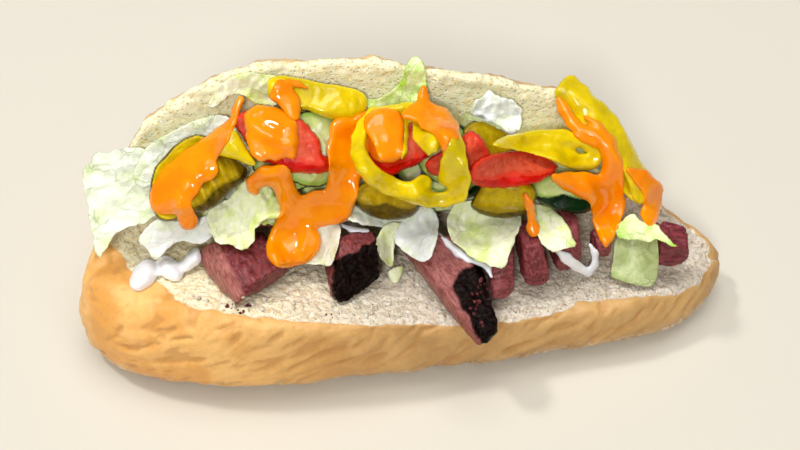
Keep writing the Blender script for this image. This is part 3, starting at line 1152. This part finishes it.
SAUCES = {
    "sauce_d": (((-11, 34, 2.2), (-7, 34.2, 3.0), (-5.6, 28.5, 5.8), (-4.8, 24.6, 4.9)),
                ((-13, 33, 1.8), (-17, 31, 4.3), (-17.6, 25, 4.9), (-17.2, 19, 5.1), (-19, 12, 5.0), (-21.5, 7.4, 5.3),
                 (-27, 7.2, 5.7), (-32, 6.4, 4.8), (-34.4, 2, 6.2), (-36.4, -2.5, 6.9), (-38.4, -4.8, 5.9)),
                ((-8, 31, 4), (-13, 27, 4)),
                ((-46.4, 17, 2.4), (-42.5, 18.7, 3.2), (-38, 18.2, 3.6), (-36.4, 13, 3.3), (-34.5, 8, 4.2)),
                ((-47.2, 15, 1.4), (-46, 14, 1.2)),
                ((-32.8, -2.6, 6.1), (-34, -4, 6))),
    "sauce_a": (((-51.2, 36.6, 1.3), (-55, 32.4, 2.7), (-59.8, 28, 3.8), (-64, 24, 5.4), (-69, 19, 6.5), (-73.2, 14.8, 5.6),
                 (-75.6, 12.6, 3.1)),
                ((-70, 13.3, 4.0), (-74, 12.5, 3.2)),
                ((-63, 22.4, 4.6), (-60.2, 21.8, 3.2), (-58.8, 22.2, 2.0)),
                ((-69, 11, 2.7), (-67.4, 6.7, 3.1)),
                ((-51, 36.5, 1.1), (-50, 40, 1.1), (-48.2, 43, 1.3))),
    "sauce_b": (((-43.2, 36, 4.7), (-40, 33.2, 7.2), (-38.2, 30, 6.6)), ((-44, 31, 3.6), (-43.4, 27.5, 3.4)),
                ((-35, 33, 4.2), (-34.6, 29, 3.4)), ((-46.2, 37.6, 1.4), (-43, 38, 3)),
                ((-43.5, 27, 2.8), (-43.2, 25.0, 1.9)), ((-39.1, 27, 1.8), (-39, 24.4, 1.3)),
                ((-33.8, 28, 2.3), (-33.6, 24.7, 1.6))),
    "sauce_c": (((-35.6, 47.4, 1.3), (-35.2, 44.5, 3.2), (-33, 41.2, 3.1), (-32.2, 38.4, 2.3), (-31.2, 36.2, 1.0)),
                ((-33, 47.8, 0.9), (-30, 46.6, 0.9), (-27.3, 45.1, 0.5)), ((-37.8, 43.2, 1.3), (-36, 44.5, 1.8))),
    "sauce_e": (((8.4, 37, 2.2), (8.9, 40, 1.6), (9.3, 42.3, 1.1)),
                ((3, 34.6, 1.6), (6, 35, 2.6), (10, 34.6, 3.2), (14, 33, 3.0), (17.2, 29.5, 2.2), (18.6, 26, 0.9)),
                ((9, 31.5, 2.4), (13, 30, 2.8), (14.4, 26, 1.9), (14, 22.6, 0.9))),
    "sauce_f": (((51.7, 35.5, 1.2), (53, 32.3, 2.0), (55.4, 28, 2.0), (58.4, 25, 1.9), (62, 24, 2.2), (66, 20, 2.8),
                 (67.3, 14, 3.2), (66.2, 8, 4.2), (64.6, 1.5, 5.3), (63.7, -4, 4.3), (63.4, -8.5, 2.6), (63, -11.6, 0.9)),
                ((60, 29.2, 0.9), (63.6, 26.4, 1.3), (66.5, 21.5, 2.0)),
                ((48.6, 11, 1.6), (52.5, 9.6, 3.0), (57.5, 8, 4.1), (62, 6, 4.8)),
                ((69, 1.4, 1.6), (67.5, -1, 2.2)),
                ((56.5, 24.2, 1.1), (59, 22.8, 1.4), (62, 20.8, 1.4))),
    "sauce_g": (((72.2, 11.6, 1.2), (76.4, 8.6, 2.8), (79.4, 4.6, 3.2), (79.2, 1, 2.7), (77.8, -2.8, 2.9), (78, -4.5, 2.2)),),
    "sauce_h": (((38.5, 6, 1.1), (39.7, 3, 1.5), (40, 0.2, 1.2), (40, -1.6, 0.9), (40.2, -4.2, 2.1), (40.3, -5.6, 1.7)),),
}
MAYONNAISE = {
    "mayonnaise_a": (((-84.4, -11.2, 2.9), (-82.6, -9.4, 3.6), (-81, -7.2, 3.2)),
                     ((-80, -8.8, 1.0), (-76, -8.4, 1.0)),
                     ((-75.6, -6.0, 2.7), (-73.8, -8.2, 3.0), (-72.6, -9.6, 2.4)),
                     ((-72, -8.2, 0.9), (-69, -7, 1.8), (-66.8, -5.0, 2.4), (-65.8, -3.0, 1.4))),
    "mayonnaise_b": (((-20, 1.5, 0.7), (-17, 0, 0.9), (-12, -0.8, 0.8)),),
    "mayonnaise_c": (((10.5, -3.5, 0.5), (13, -7, 1.0), (16, -10, 1.5), (19, -12.2, 1.2), (22.4, -13.2, 1.3),
                      (25, -15.5, 1.0), (25.8, -18.5, 0.6)),),
    "mayonnaise_d": (((47.3, -12.3, 0.9), (50, -14.6, 1.7), (53, -17.4, 1.6), (56, -19.5, 1.4)),
                     ((58, -11, 0.6), (59.3, -14, 1.1), (59, -17.5, 1.1), (57, -19.8, 1.2))),
}


# Crests on the sauces: (height, half width, places).
CRESTS = {
    "sauce_b": ((1.3, 1.6, ((-46.6, 37.2), (-45, 34.5), (-41.3, 31.5), (-36.5, 29), (-33.5, 27.7))),),
    "sauce_d": ((0.9, 1.8, ((-38, 0), (-35, -4.5), (-31.5, -5.5))), (0.8, 1.6, ((-22, 16.5), (-20.5, 13))),
                (0.8, 1.8, ((-43, 17.4), (-40, 18.5), (-37.5, 17), (-35.5, 12)))),
    "sauce_a": ((0.7, 1.6, ((-75, 13), (-70, 15.5), (-64, 20), (-60, 24))),),
    "sauce_f": ((0.8, 1.4, ((53.5, 32), (56.5, 27), (60, 25), (64.5, 21), (66.5, 14), (65, 8))),
                (0.8, 1.4, ((50.5, 10.2), (54, 8.6)))),
}


def pour(node, slot, material, strokes, body, round_width, seed):
    region = Region(strokes=strokes)
    levels = poured_levels(region, *body, seed=seed, crests=CRESTS.get(node, ()))
    drape(node, slot, material, region, levels, round_width, (node,), step=0.35)


# How thick each sauce stands at its edge, and how much thicker a millimetre further in.
BODY = {"sauce_a": (1.4, 0.22), "sauce_b": (1.9, 0.4), "sauce_c": (1.1, 0.2), "sauce_d": (2.0, 0.42),
        "sauce_e": (0.9, 0.12), "sauce_f": (1.5, 0.3), "sauce_g": (1.5, 0.3), "sauce_h": (1.1, 0.3)}


def build_sauces(letters, material):
    for letter in letters:
        node = "sauce_" + letter
        pour(node, "sauce", material, SAUCES[node], BODY[node], 2.0, ord(letter))


# Sauce that runs over the pepper ring.
OVER_RING = ((-10.8, 33), (-9.9, 35.4), (-7, 36.8), (-4.1, 37.4), (-1, 36.8), (1.3, 35.6), (2.5, 31.4), (1.9, 27.6),
             (0.9, 21), (-2, 19.6), (-4.4, 19.7), (-6.9, 21.1), (-7.6, 25.2), (-9.1, 28.3), (-10.6, 30.5))


def build_sauce_over_ring(material):
    region = Region(OVER_RING)
    levels = poured_levels(region, 1.7, 0.3, seed=9)
    drape("sauce_over_ring", "sauce", material, region, levels, 2.0, ("sauce_d",), step=0.35)


def build_mayonnaise():
    material = runny_material("mayonnaise", linear(250, 249, 250), linear(243, 243, 247), 0.1, 0.12)
    for node, strokes in MAYONNAISE.items():
        body = (1.2, 1.6) if node.endswith("a") else (1.1, 0.5)
        pour(node, "mayonnaise", material, strokes, body, 1.8, len(node))


# ---------------------------------------------------------------- floor, light and camera


def build_floor():
    mesh = bmesh.new()
    bmesh.ops.create_grid(mesh, x_segments=8, y_segments=8, size=3.0)
    data = bpy.data.meshes.new("floor")
    mesh.to_mesh(data)
    mesh.free()
    floor = bpy.data.objects.new("floor", data)
    shade = Shade("floor", Roughness=0.9, Specular_IOR_Level=0.1)
    shade.shader.inputs["Base Color"].default_value = (0.70, 0.655, 0.56, 1.0)
    data.materials.append(shade.material)
    bpy.context.scene.collection.objects.link(floor)


def add_light(name, location, size, energy, colour):
    light = bpy.data.lights.new(name, "AREA")
    light.shape = "DISK"
    light.size = size
    light.energy = energy
    light.color = colour
    lamp = bpy.data.objects.new(name, light)
    lamp.location = location
    lamp.rotation_euler = (Vector((0, 0.01, 0.03)) - Vector(location)).to_track_quat("-Z", "Y").to_euler()
    bpy.context.scene.collection.objects.link(lamp)


def build_studio():
    build_floor()
    world = bpy.data.worlds.new("studio")
    world.use_nodes = True
    backdrop = world.node_tree.nodes["Background"]
    backdrop.inputs["Color"].default_value = (1.0, 1.0, 1.0, 1.0)
    backdrop.inputs["Strength"].default_value = 0.14
    bpy.context.scene.world = world
    add_light("key", (-1.00, 0.45, 1.95), 0.28, 15.5, (1.0, 1.0, 0.99))
    add_light("overhead", (0.10, 0.30, 2.00), 1.40, 14.8, (1.0, 1.0, 1.0))
    add_light("ceiling", (0.00, -0.30, 2.40), 3.00, 20.0, (1.0, 1.0, 1.0))
    add_light("fill", (-0.40, -1.50, 1.40), 0.40, 18.0, (1.0, 1.0, 1.0))
    bpy.context.scene.view_settings.view_transform = "Standard"

    lens = bpy.data.cameras.new("camera")
    lens.lens = 70.909
    lens.sensor_width = 36.0
    lens.clip_start, lens.clip_end = 0.01, 20.0
    camera = bpy.data.objects.new("camera", lens)
    camera.location = Vector(EYE) * MM
    camera.rotation_euler = Vector(-BACK).to_track_quat("-Z", "Y").to_euler()
    bpy.context.scene.collection.objects.link(camera)
    bpy.context.scene.camera = camera


build_studio()
bread = bread_material()
build_roll(bread)
meat = meat_material()
build_meat(meat)
lettuces = lettuce_materials()
build_bed(lettuces)
build_crumbs("meat_crumbs", "meat", meat, MEAT_CRUMBS, 3, bark=0.45, pink=0.2)
build_crumbs("bread_crumbs", "roll", bread, BREAD_CRUMBS, 4, crumb=1.0, tan=1.0, upper=0.0, crease=0.0, flour=0.0,
             low=0.0)
build_mayonnaise()
build_leaves(lettuces)
build_slices(("cucumber", "pickle"))
build_slices(("tomato",))
pepper = pepper_material()
sauce = runny_material("sauce", linear(255, 150, 0), linear(252, 134, 0), 0.08, 0.06)
build_peppers("ae", pepper)
build_sauces("d", sauce)
build_peppers("gbcfd", pepper)
build_sauce_over_ring(sauce)
build_sauces("abcefgh", sauce)
build_scraps(lettuces)
